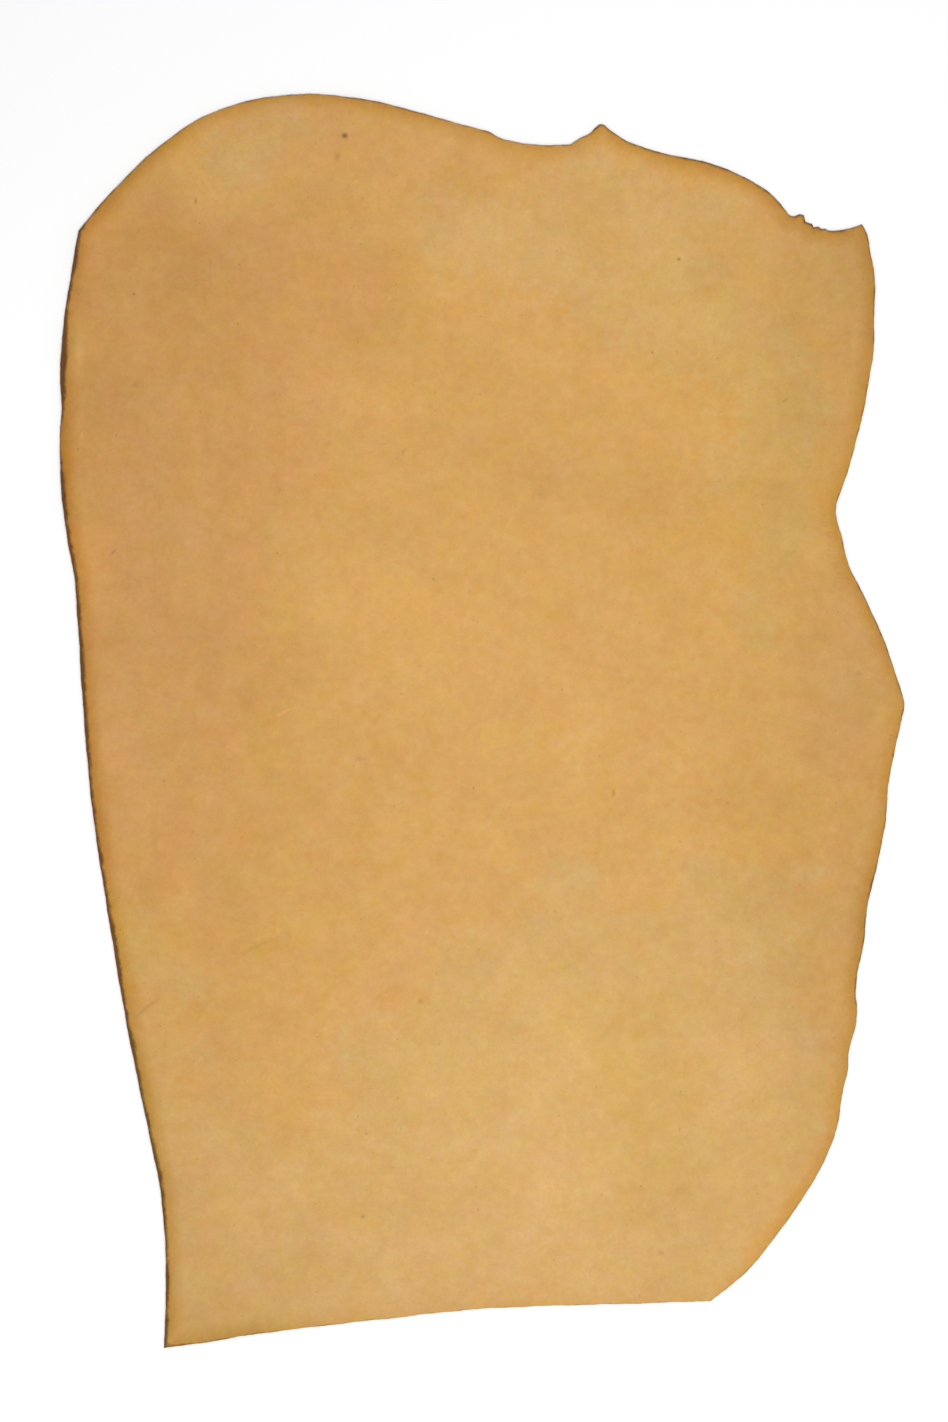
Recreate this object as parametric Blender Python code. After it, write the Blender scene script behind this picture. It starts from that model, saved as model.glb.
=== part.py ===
"""Calf leather hide: one vegetable-tanned side, cut along the backbone and laid grain side up on the floor.

Units are metres, +Z up. +Y points from the neck cut to the rump, and the backbone edge is at -X.
The origin is on the floor, under the middle of the hide's outline. The outline is that of the grain
face seen from above. The flesh side rests on Z = 0 wherever the leather lies flat.
"""

import math
from collections import namedtuple

import bmesh
import bpy
import numpy as np
from mathutils.geometry import delaunay_2d_cdt

MM = 0.001

# Driving dimensions
HIDE_LENGTH = 1.253
HIDE_WIDTH = 0.844
THICKNESS = 0.002

# The rim lifts off the floor and turns down to meet it again at the cut edge
TURN_REACH = 0.025
TURN_ROUNDNESS = 4.5
TURN_FALL = 0.140
TURN_SPREAD = 0.030
TURN_WAVES = ((0.31, 0.16, 0.4), (0.12, 0.09, 2.1))

# Spacing of the facets
EDGE_STEP = 0.016
RIM_RINGS = ((0.002, 1), (0.005, 1), (0.010, 1), (0.018, 2), (0.030, 2), (0.048, 2))
FIELD_STEP = 0.031
FIELD_MARGIN = 0.064

# What the triangulation is asked for: every triangle of the hull, and points closer than this taken as one
WHOLE_HULL = 0
SAME_POINT = 1e-6

LEATHER_COLOUR = (0.55, 0.30, 0.08, 1.0)
LEATHER_ROUGHNESS = 0.55

# One row for each stretch of the cut edge, clockwise from the corner between backbone and rump.
# turn_from and turn_to are the height in mm to which the rim lifts at the stretch's two ends.
# A smooth stretch is one curve through its points, and a torn one is straight bites. Points are in mm
# from the middle of the hide, and each stretch ends where the next one starts.
Stretch = namedtuple("Stretch", "name turn_from turn_to smooth points")

CUT_EDGE = (
    Stretch("rump", 5.5, 4.0, True, (
        (-403.5, 489.0), (-366.0, 532.5), (-325.0, 571.6), (-278.5, 603.2),
        (-226.0, 620.6), (-169.5, 625.8), (-112.0, 619.6), (-40.0, 601.0))),
    Stretch("tail notch", 4.0, 4.5, True, (
        (7.5, 587.9), (18.5, 581.8), (30.5, 578.8), (63.5, 574.6))),
    Stretch("hock, tail side", 4.5, 4.5, True, (
        (88.4, 576.0), (100.6, 583.4), (107.0, 586.4), (112.6, 591.6))),
    Stretch("hock, shank side", 4.5, 5.0, True, (
        (116.8, 595.2), (121.2, 595.1), (126.4, 590.9), (133.0, 586.2), (140.6, 581.4), (170.0, 569.6),
        (224.5, 557.5), (259.0, 544.4), (290.5, 524.0))),
    Stretch("torn lip", 5.0, 5.0, True, (
        (297.5, 517.0), (303.2, 509.8), (307.7, 504.9), (311.7, 504.0), (316.2, 505.8))),
    Stretch("torn bites", 5.0, 5.0, False, (
        (321.5, 504.5), (322.9, 498.2), (329.5, 496.0), (330.9, 492.4), (335.8, 493.3), (338.5, 491.1),
        (343.0, 491.5))),
    Stretch("shank end", 5.0, 4.5, True, (
        (345.5, 489.7), (354.5, 489.7), (366.0, 491.8))),
    Stretch("flank and waist", 4.5, 4.0, True, (
        (379.1, 495.5), (383.6, 488.0), (387.6, 469.6), (391.2, 451.8), (391.8, 404.0), (391.3, 375.0),
        (385.8, 335.0), (369.0, 262.0), (360.2, 234.0), (354.5, 217.0), (353.1, 208.0), (354.4, 199.5),
        (358.8, 184.5), (366.5, 155.5), (383.5, 121.0), (398.7, 87.5), (410.8, 54.5), (418.2, 31.0),
        (421.6, 17.5), (419.6, 3.0))),
    Stretch("belly", 4.0, 4.5, True, (
        (415.2, -16.0), (406.5, -60.0), (402.3, -105.0), (398.2, -128.0), (384.7, -187.7), (380.5, -226.0),
        (374.6, -255.0))),
    Stretch("elbow", 4.5, 3.0, True, (
        (373.0, -275.0), (374.5, -292.0), (373.6, -303.0), (369.8, -317.0), (366.0, -330.0),
        (365.5, -346.0), (360.0, -372.0), (352.8, -412.0), (328.8, -463.0), (297.0, -509.3),
        (273.5, -539.6))),
    Stretch("neck cut, belly part", 1.5, 1.0, True, (
        (228.3, -578.8), (138.5, -582.0), (75.0, -583.5), (-16.0, -588.0))),
    Stretch("neck cut, backbone part", 1.5, 4.0, True, (
        (-81.0, -595.2), (-157.5, -603.6), (-235.0, -613.5), (-280.0, -621.0))),
    Stretch("backbone, neck part", 5.5, 6.5, True, (
        (-317.6, -625.9), (-316.6, -590.0), (-316.0, -545.0), (-322.0, -466.0), (-333.3, -410.0),
        (-353.3, -312.8), (-372.5, -200.7), (-389.5, -87.7), (-399.7, 28.0), (-404.5, 106.0),
        (-408.0, 147.0), (-414.6, 182.0), (-421.0, 238.0), (-421.8, 280.0))),
    Stretch("backbone, rump part", 6.5, 6.0, True, (
        (-420.0, 311.6), (-421.5, 345.0), (-415.7, 415.0), (-409.6, 452.4))),
)

# Where the leather stands off the floor in broad, low swells. Sizes are in mm, angles in degrees.
Swell = namedtuple("Swell", "name x y half_length half_width angle height")

SWELLS = (
    Swell("rump", -262, 528, 120, 62, 32, 2.0),
    Swell("backbone, rump part", -392, 372, 66, 34, 86, 1.5),
    Swell("hip", -140, 322, 150, 95, -24, 2.4),
    Swell("tail", 30, 498, 130, 60, -12, 2.0),
    Swell("shank", 250, 410, 130, 90, -50, 2.4),
    Swell("waist", 262, 190, 150, 70, 8, 3.0),
    Swell("belly", 325, -70, 120, 62, 80, 2.4),
    Swell("backbone, fore part", -322, -212, 95, 45, 80, 1.8),
    Swell("elbow", 255, -345, 130, 85, 62, 3.0),
    Swell("shoulder", -60, -360, 190, 95, 12, 2.2),
    Swell("neck", -190, -520, 120, 60, 6, 1.8),
    Swell("back", -250, 60, 150, 80, 84, 1.8),
)


def curve_between(before, start, end, after, step):
    """Points of a cubic from start up to end, with chord-weighted tangents. None marks a corner."""
    before, start, end, after = (None if p is None else np.array(p, float) for p in (before, start, end, after))
    chord = end - start
    length = np.linalg.norm(chord)
    along = chord / length

    def tangent(other, sign):
        arm = sign * (start - other if sign > 0 else end - other)
        reach = np.linalg.norm(arm)
        return (arm / reach * length + along * reach) / (reach + length)

    leave = None if before is None else tangent(before, 1)
    arrive = None if after is None else tangent(after, -1)
    if leave is None:
        leave = along if arrive is None else 2 * along - arrive
    if arrive is None:
        arrive = along if before is None else 2 * along - leave
    count = max(1, round(length / step))
    u = np.arange(count)[:, None] / count
    return (
        (2 * u**3 - 3 * u**2 + 1) * start
        + (u**3 - 2 * u**2 + u) * length * leave
        + (3 * u**2 - 2 * u**3) * end
        + (u**3 - u**2) * length * arrive
    )


def cut_outline(step):
    """The closed outline in metres, scaled to the hide's length and width, and the rim's lift at each point."""
    points, lifts = [], []
    for stretch, following in zip(CUT_EDGE, CUT_EDGE[1:] + CUT_EDGE[:1]):
        knots = [*stretch.points, following.points[0]]
        run = []
        for i in range(len(knots) - 1):
            if stretch.smooth:
                before = knots[i - 1] if i else None
                after = knots[i + 2] if i + 2 < len(knots) else None
                run.append(curve_between(before, knots[i], knots[i + 1], after, step / MM))
            else:
                run.append(np.array([knots[i]], float))
        run = np.vstack(run)
        points.append(run)
        lifts.append(np.linspace(stretch.turn_from, stretch.turn_to, len(run), endpoint=False))
    points = np.vstack(points)
    low, high = points.min(0), points.max(0)
    points = (points - (low + high) / 2) * (HIDE_WIDTH, HIDE_LENGTH) / (high - low)
    return points, uneven_lifts(points, np.concatenate(lifts) * MM)


def uneven_lifts(points, lifts):
    """The lifts evened out along the edge, where they would jump at a corner, and given a long slow wave."""
    gaps = np.linalg.norm(np.roll(points, -1, 0) - points, axis=1)
    place = np.concatenate(([0], np.cumsum(gaps)[:-1]))
    total = gaps.sum()
    apart = np.abs(place[:, None] - place)
    apart = np.minimum(apart, total - apart)
    weights = np.exp(-((apart / TURN_SPREAD) ** 2)) * gaps
    evened = weights @ lifts / weights.sum(1)
    wave = 1
    for length, share, phase in TURN_WAVES:
        whole_waves = round(total / length)
        wave = wave + share * np.sin(2 * math.pi * whole_waves * place / total + phase)
    return evened * wave


def distance_to_edge(points, outline):
    """Distance from each point to the outline."""
    starts = outline
    runs = np.roll(outline, -1, 0) - outline
    to_points = points[:, None] - starts
    share = np.clip((to_points * runs).sum(2) / (runs**2).sum(1), 0, 1)
    return np.linalg.norm(to_points - share[..., None] * runs, axis=2).min(1)


def lift_near(points, outline, lifts):
    """The rim's lift at each point: that of the edge near it, and a blend where two edges are as near."""
    apart = ((points[:, None] - outline) ** 2).sum(2)
    weights = 1 / (apart + EDGE_STEP**2) ** 2
    return (weights * lifts).sum(1) / weights.sum(1)


def smooth_step(x):
    x = np.clip(x, 0, 1)
    return x * x * (3 - 2 * x)


def rim_height(points, outline, lifts):
    """Height of the turned rim: steep at the cut edge, round over the crest, then a long slope to the floor."""
    distance = distance_to_edge(points, outline)
    outer = 1 - np.clip(1 - distance / TURN_REACH, 0, 1) ** TURN_ROUNDNESS
    inner = 1 - smooth_step((distance - TURN_REACH) / TURN_FALL)
    return lift_near(points, outline, lifts) * outer * inner


def swell_height(points):
    """Height of the broad swells, each a smooth mound with an oval foot."""
    total = np.zeros(len(points))
    for swell in SWELLS:
        turn = math.radians(swell.angle)
        away = points / MM - (swell.x, swell.y)
        along = away @ (math.cos(turn), math.sin(turn)) / swell.half_length
        across = away @ (-math.sin(turn), math.cos(turn)) / swell.half_width
        total += swell.height * MM * np.clip(1 - along**2 - across**2, 0, 1) ** 2
    return total


def rim_points(outline):
    """Rings of points inside the outline, left out where a bend in the edge would crowd them."""
    before, after = np.roll(outline, 1, 0), np.roll(outline, -1, 0)
    along = after - before
    inward = np.stack((along[:, 1], -along[:, 0]), 1) / np.linalg.norm(along, axis=1)[:, None]
    kept = []
    for offset, every in RIM_RINGS:
        ring = (outline + inward * offset)[::every]
        ring = ring[distance_to_edge(ring, outline) > 0.9 * offset]
        kept.append(ring)
    return np.vstack(kept)


def field_points(outline):
    """A square grid of points over the middle of the hide, well inside the rings."""
    low, high = outline.min(0), outline.max(0)
    columns = np.arange(low[0], high[0], FIELD_STEP)
    rows = np.arange(low[1], high[1], FIELD_STEP)
    grid = np.stack(np.meshgrid(columns, rows), 2).reshape(-1, 2)
    return grid[inside(grid, outline) & (distance_to_edge(grid, outline) > FIELD_MARGIN)]


def inside(points, outline):
    """Whether each point is inside the outline: a ray to +X crosses its edges an odd number of times."""
    x, y = points[:, :1], points[:, 1:]
    (x0, y0), (x1, y1) = outline.T, np.roll(outline, -1, 0).T
    spans = (y0 > y) != (y1 > y)
    crossing = x0 + (y - y0) * (x1 - x0) / np.where(y1 == y0, 1, y1 - y0)
    return (spans & (x < crossing)).sum(1) % 2 == 1


def triangles_inside(points, outline):
    """Triangles over all the points that keep the outline's edges and leave out what is beyond them.

    The outline's points come first among the points.
    """
    count = len(outline)
    border = [(i, (i + 1) % count) for i in range(count)]
    _, _, triangles, sources, *_ = delaunay_2d_cdt(
        [tuple(p) for p in points], border, [], WHOLE_HULL, SAME_POINT, True
    )
    named = np.array([[sources[i][0] for i in triangle] for triangle in triangles])
    return named[inside(points[named].mean(1), outline)].tolist()


def leather_material():
    material = bpy.data.materials.new("leather")
    material.use_nodes = True
    shader = material.node_tree.nodes["Principled BSDF"]
    shader.inputs["Base Color"].default_value = LEATHER_COLOUR
    shader.inputs["Roughness"].default_value = LEATHER_ROUGHNESS
    shader.inputs["Metallic"].default_value = 0.0
    return material


def make_hide():
    """The hide: its grain face as one triangulated sheet, thickened down to the flesh side."""
    outline, lifts = cut_outline(EDGE_STEP)
    points = np.vstack((outline, rim_points(outline), field_points(outline)))
    heights = THICKNESS + rim_height(points, outline, lifts) + swell_height(points)

    sheet = bmesh.new()
    vertices = [sheet.verts.new((x, y, z)) for (x, y), z in zip(points.tolist(), heights.tolist())]
    for triangle in triangles_inside(points, outline):
        sheet.faces.new([vertices[i] for i in triangle])
    mesh = bpy.data.meshes.new("hide")
    sheet.to_mesh(mesh)
    sheet.free()
    mesh.shade_smooth()
    mesh.materials.append(leather_material())

    hide = bpy.data.objects.new("hide", mesh)
    bpy.context.scene.collection.objects.link(hide)
    body = hide.modifiers.new("thickness", "SOLIDIFY")
    body.thickness = THICKNESS
    body.offset = -1.0
    return hide


def main():
    for thing in list(bpy.data.objects):
        bpy.data.objects.remove(thing)
    make_hide()


main()
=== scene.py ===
"""The looks of the calf leather hide: one vegetable-tanned side, laid grain side up on a pale floor.

Metres, +Z up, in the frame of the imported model. Tables of places are in millimetres from the middle of
the hide, with +Y towards the rump, and their heights, depths and widths are in millimetres too.
"""

import math
from collections import namedtuple

import bpy
import numpy as np
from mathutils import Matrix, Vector, noise
from mathutils.geometry import delaunay_2d_cdt


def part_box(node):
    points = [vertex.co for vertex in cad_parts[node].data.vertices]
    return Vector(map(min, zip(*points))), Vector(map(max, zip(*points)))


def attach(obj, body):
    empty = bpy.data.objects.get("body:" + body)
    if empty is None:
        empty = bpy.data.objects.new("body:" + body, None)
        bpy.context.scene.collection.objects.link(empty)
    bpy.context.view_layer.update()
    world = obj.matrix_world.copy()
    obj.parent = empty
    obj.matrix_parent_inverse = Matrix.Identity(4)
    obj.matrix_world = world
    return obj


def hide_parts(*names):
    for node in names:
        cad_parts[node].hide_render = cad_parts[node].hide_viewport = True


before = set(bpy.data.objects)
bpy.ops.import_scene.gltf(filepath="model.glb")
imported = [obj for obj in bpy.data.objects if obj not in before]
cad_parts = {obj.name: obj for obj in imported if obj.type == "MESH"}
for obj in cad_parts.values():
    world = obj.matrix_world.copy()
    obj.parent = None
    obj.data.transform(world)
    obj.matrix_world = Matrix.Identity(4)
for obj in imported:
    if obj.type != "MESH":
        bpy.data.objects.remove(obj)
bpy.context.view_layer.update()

MM = 0.001

# Driving dimensions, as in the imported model
hide_low, hide_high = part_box("hide")
HIDE_WIDTH = hide_high.x - hide_low.x
HIDE_LENGTH = hide_high.y - hide_low.y
THICKNESS = 0.002

# The rim lifts off the floor. Its crest is TURN_REACH in from the cut edge, and the slope behind it is
# TURN_FALL long. Along the edge it evens out over TURN_SPREAD and swings by TURN_WAVES: length, share and
# phase. RIM_BLEND softens the change from one stretch to the next.
TURN_REACH = 0.025
TURN_ROUNDNESS = 4.5
TURN_FALL = 0.140
TURN_SPREAD = 0.030
TURN_WAVES = ((0.31, 0.16, 0.4), (0.12, 0.09, 2.1))
RIM_BLEND = 0.018

# The knife's wavering, as waves along the edge: length in mm, swing in mm and phase
KNIFE_WAVES = ((61.0, 0.25, 0.7), (23.0, 0.15, 2.9), (9.0, 0.10, 4.4))

# Spacing of the mesh points. RIM_RINGS has each ring's distance in from the edge, and of how many edge
# points it takes one. CROWDED is the share of that distance at which a point is too near to the edge.
EDGE_STEP = 0.0025
EDGE_ROUNDING = 0.0004
RIM_RINGS = ((0.0015, 1), (0.003, 1), (0.005, 2), (0.0075, 2), (0.0105, 2), (0.014, 2), (0.018, 2))
CROWDED = 0.93
FIELD_STEP = 0.0058
FIELD_MARGIN = 0.0215

# Closer points along a crease, in its half widths, and around a mark, in its sizes
CREASE_STEP = 1.3
CREASE_SIDES = (-1.8, -0.9, 0.0, 0.9, 1.8)
FEWEST_ROWS = 4
MARK_RINGS = (0.5, 1.0, 1.5)
MARK_SPOKES = 6

# What the triangulation is asked for: every triangle of the hull, and points closer than this taken as one
WHOLE_HULL = 0
SAME_POINT = 1e-6

# How many points are measured at a time
CHUNK = 2000

# The cut edge's profile, from grain to flesh: how far out it stands in units of its rounding, and how deep
# it is in units of the thickness
CUT_PROFILE = ((0.70, 0.05), (1.0, 0.18), (1.0, 0.40), (0.9, 0.64), (0.85, 0.86), (0.5, 0.96))
GRAIN_SLOT, CUT_SLOT, FLESH_SLOT = 0, 1, 2

# One row for each stretch of the cut edge, clockwise from the corner between backbone and rump. Each ends
# where the next one starts. turn_from and turn_to are the height in mm to which the rim lifts at its ends,
# browned_from and browned_to are how brown the leather is near the edge there, and burnt is
# how dark its outermost few mm are: painted shade of the rim turning down, with some of the edge's own
# darker brown. A smooth stretch is one curve through its points, and a torn one is straight bites.
Stretch = namedtuple("Stretch", "name turn_from turn_to browned_from browned_to burnt smooth points")

CUT_EDGE = (
    Stretch("rump", 5.5, 4.0, 1.1, 0.95, 0.32, True, (
        (-403.5, 489.0), (-366.0, 532.5), (-325.0, 571.6), (-278.5, 603.2),
        (-226.0, 620.6), (-169.5, 625.8), (-112.0, 619.6), (-40.0, 601.0))),
    Stretch("tail notch", 4.0, 4.5, 0.85, 0.9, 0.38, True, (
        (7.5, 587.9), (18.5, 581.8), (30.5, 578.8), (63.5, 574.6))),
    Stretch("hock, tail side", 4.5, 4.5, 0.95, 1.0, 0.4, True, (
        (88.4, 576.0), (100.6, 583.4), (107.0, 586.4), (112.6, 591.6))),
    Stretch("hock, shank side", 4.5, 5.0, 1.0, 1.05, 0.45, True, (
        (116.8, 595.2), (121.2, 595.1), (126.4, 590.9), (133.0, 586.2), (140.6, 581.4), (170.0, 569.6),
        (224.5, 557.5), (259.0, 544.4), (290.5, 524.0))),
    Stretch("torn lip", 5.0, 5.0, 1.1, 1.2, 0.5, True, (
        (297.5, 517.0), (303.2, 509.8), (307.7, 504.9), (311.7, 504.0), (316.2, 505.8))),
    Stretch("torn bites", 5.0, 5.0, 1.2, 1.25, 0.6, False, (
        (321.5, 504.5), (322.9, 498.2), (329.5, 496.0), (330.9, 492.4), (335.8, 493.3), (338.5, 491.1),
        (343.0, 491.5))),
    Stretch("shank end", 5.0, 4.5, 1.35, 1.5, 0.6, True, (
        (345.5, 489.7), (354.5, 489.7), (366.0, 491.8))),
    Stretch("flank and waist", 4.5, 4.0, 1.0, 0.65, 0.3, True, (
        (379.1, 495.5), (383.6, 488.0), (387.6, 469.6), (391.2, 451.8), (391.8, 404.0), (391.3, 375.0),
        (385.8, 335.0), (369.0, 262.0), (360.2, 234.0), (354.5, 217.0), (353.1, 208.0), (354.4, 199.5),
        (358.8, 184.5), (366.5, 155.5), (383.5, 121.0), (398.7, 87.5), (410.8, 54.5), (418.2, 31.0),
        (421.6, 17.5), (419.6, 3.0))),
    Stretch("belly", 4.0, 4.5, 0.85, 0.85, 0.35, True, (
        (415.2, -16.0), (406.5, -60.0), (402.3, -105.0), (398.2, -128.0), (384.7, -187.7), (380.5, -226.0),
        (374.6, -255.0))),
    Stretch("elbow", 4.5, 3.0, 0.85, 0.2, 0.22, True, (
        (373.0, -275.0), (374.5, -292.0), (373.6, -303.0), (369.8, -317.0), (366.0, -330.0),
        (365.5, -346.0), (360.0, -372.0), (352.8, -412.0), (328.8, -463.0), (297.0, -509.3),
        (273.5, -539.6))),
    Stretch("neck cut, belly part", 1.5, 1.0, 0.1, 0.1, 0.1, True, (
        (228.3, -578.8), (138.5, -582.0), (75.0, -583.5), (-16.0, -588.0))),
    Stretch("neck cut, backbone part", 1.5, 4.0, 0.3, 0.85, 0.25, True, (
        (-81.0, -595.2), (-157.5, -603.6), (-235.0, -613.5), (-280.0, -621.0))),
    Stretch("backbone, neck part", 5.5, 6.5, 1.15, 1.4, 0.85, True, (
        (-317.6, -625.9), (-316.6, -590.0), (-316.0, -545.0), (-322.0, -466.0), (-333.3, -410.0),
        (-353.3, -312.8), (-372.5, -200.7), (-389.5, -87.7), (-399.7, 28.0), (-404.5, 106.0),
        (-408.0, 147.0), (-414.6, 182.0), (-421.0, 238.0), (-421.8, 280.0))),
    Stretch("backbone, rump part", 6.5, 6.0, 1.3, 1.1, 1.0, True, (
        (-420.0, 311.6), (-421.5, 345.0), (-415.7, 415.0), (-409.6, 452.4))),
)

# Where the cut edge's painted shade, with some of its own darker brown, is stronger, or below zero weaker,
# than its stretch's: an oval each
EdgeSpot = namedtuple("EdgeSpot", "name x y half_length half_width angle burnt")

EDGE_SPOTS = (
    EdgeSpot("hip", -420, 362, 58, 40, 90, 0.36),
    EdgeSpot("under the hip", -420, 278, 55, 40, 90, -0.55),
    EdgeSpot("back", -402, 55, 70, 40, 90, 0.35),
    EdgeSpot("ribs", -388, -92, 62, 40, 98, -0.25),
    EdgeSpot("fore ribs", -368, -222, 98, 40, 99, 0.25),
    EdgeSpot("shoulder", -341, -372, 52, 40, 101, -0.25),
)

# Where the leather stands off the floor in broad, low swells
Swell = namedtuple("Swell", "name x y half_length half_width angle height")

SWELLS = (
    Swell("rump", -262, 528, 120, 62, 32, 2.0),
    Swell("backbone, rump part", -392, 372, 66, 34, 86, 1.5),
    Swell("hip", -140, 322, 150, 95, -24, 2.4),
    Swell("tail", 30, 498, 130, 60, -12, 2.0),
    Swell("shank", 250, 410, 130, 90, -50, 2.4),
    Swell("waist", 262, 190, 150, 70, 8, 3.0),
    Swell("belly", 325, -70, 120, 62, 80, 2.4),
    Swell("backbone, fore part", -322, -212, 95, 45, 80, 1.8),
    Swell("elbow", 255, -345, 130, 85, 62, 3.0),
    Swell("shoulder", -60, -360, 190, 95, 12, 2.2),
    Swell("neck", -190, -520, 120, 60, 6, 1.8),
    Swell("back", -250, 60, 150, 80, 84, 1.8),
    Swell("buckle in the backbone edge", -406, 375, 17, 9, 84, 2.2),
)

# Low waves all over: length and height in mm, and a seed
DRAPE_WAVES = ((140.0, 0.50, 3.0), (52.0, 0.16, 11.0), (21.0, 0.045, 23.0))

# Grounds of other hue than the amber middle: ruddy along the backbone, and olive at the tail and the neck.
# Each has a rough outline, and the material makes its border ragged. How far in mm a point lies in or out
# of them is told up to GROUND_REACH.
Ground = namedtuple("Ground", "name hue points")
GROUND_REACH = 60.0

GROUNDS = (
    Ground("backbone", "ruddy", (
        (-460, 490), (-386, 505), (-331, 530), (-251, 508), (-191, 505), (-131, 480), (-96, 440),
        (-106, 410), (-136, 370), (-173, 335), (-156, 290), (-156, 235), (-201, 208), (-231, 192),
        (-213, 160), (-219, 100), (-193, 40), (-233, -20), (-245, -65), (-229, -120), (-259, -165),
        (-263, -235), (-293, -230), (-303, -180), (-356, -173), (-460, -180))),
    Ground("tail and flank", "olive", (
        (-63, 485), (-51, 525), (-21, 537), (29, 515), (64, 555), (119, 570), (179, 542), (254, 525),
        (224, 475), (274, 420), (331, 370), (354, 310), (331, 250), (331, 190), (299, 130), (294, 65),
        (259, 65), (254, 130), (271, 180), (219, 250), (261, 295), (257, 325), (184, 350), (119, 375),
        (84, 410), (9, 445), (-51, 448))),
    Ground("rump", "olive", (
        (-276, 555), (-269, 580), (-249, 602), (-219, 616), (-181, 614), (-159, 597), (-163, 578),
        (-191, 574), (-213, 555), (-219, 535), (-243, 524), (-259, 540))),
    Ground("neck", "olive", (
        (-355, -185), (-330, -188), (-320, -230), (-277, -255), (-274, -272), (-308, -278), (-298, -298),
        (-310, -316), (-266, -332), (-268, -352), (-301, -364), (-241, -383), (-186, -410), (-131, -385),
        (-146, -315), (-56, -280), (-41, -225), (59, -185), (34, -142), (104, -130), (124, -185),
        (169, -192), (209, -160), (174, -130), (239, -138), (331, -148), (304, -185), (319, -245),
        (299, -280), (347, -305), (339, -430), (264, -530), (224, -600), (-192, -620), (-365, -660))),
)

# Patches of other tone, each with a soft oval foot. In percent, and less than zero for the second of each:
# tone is lighter or darker, pale is greyer or yellower, and green is more olive or ruddier.
Patch = namedtuple("Patch", "name x y half_length half_width angle tone pale green", defaults=(0, 0))

# Their tone is partly the leather's own and partly painted shade and light: the shading of the low swells,
# and the darker backbone and belly sides where the light falls off.
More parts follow.
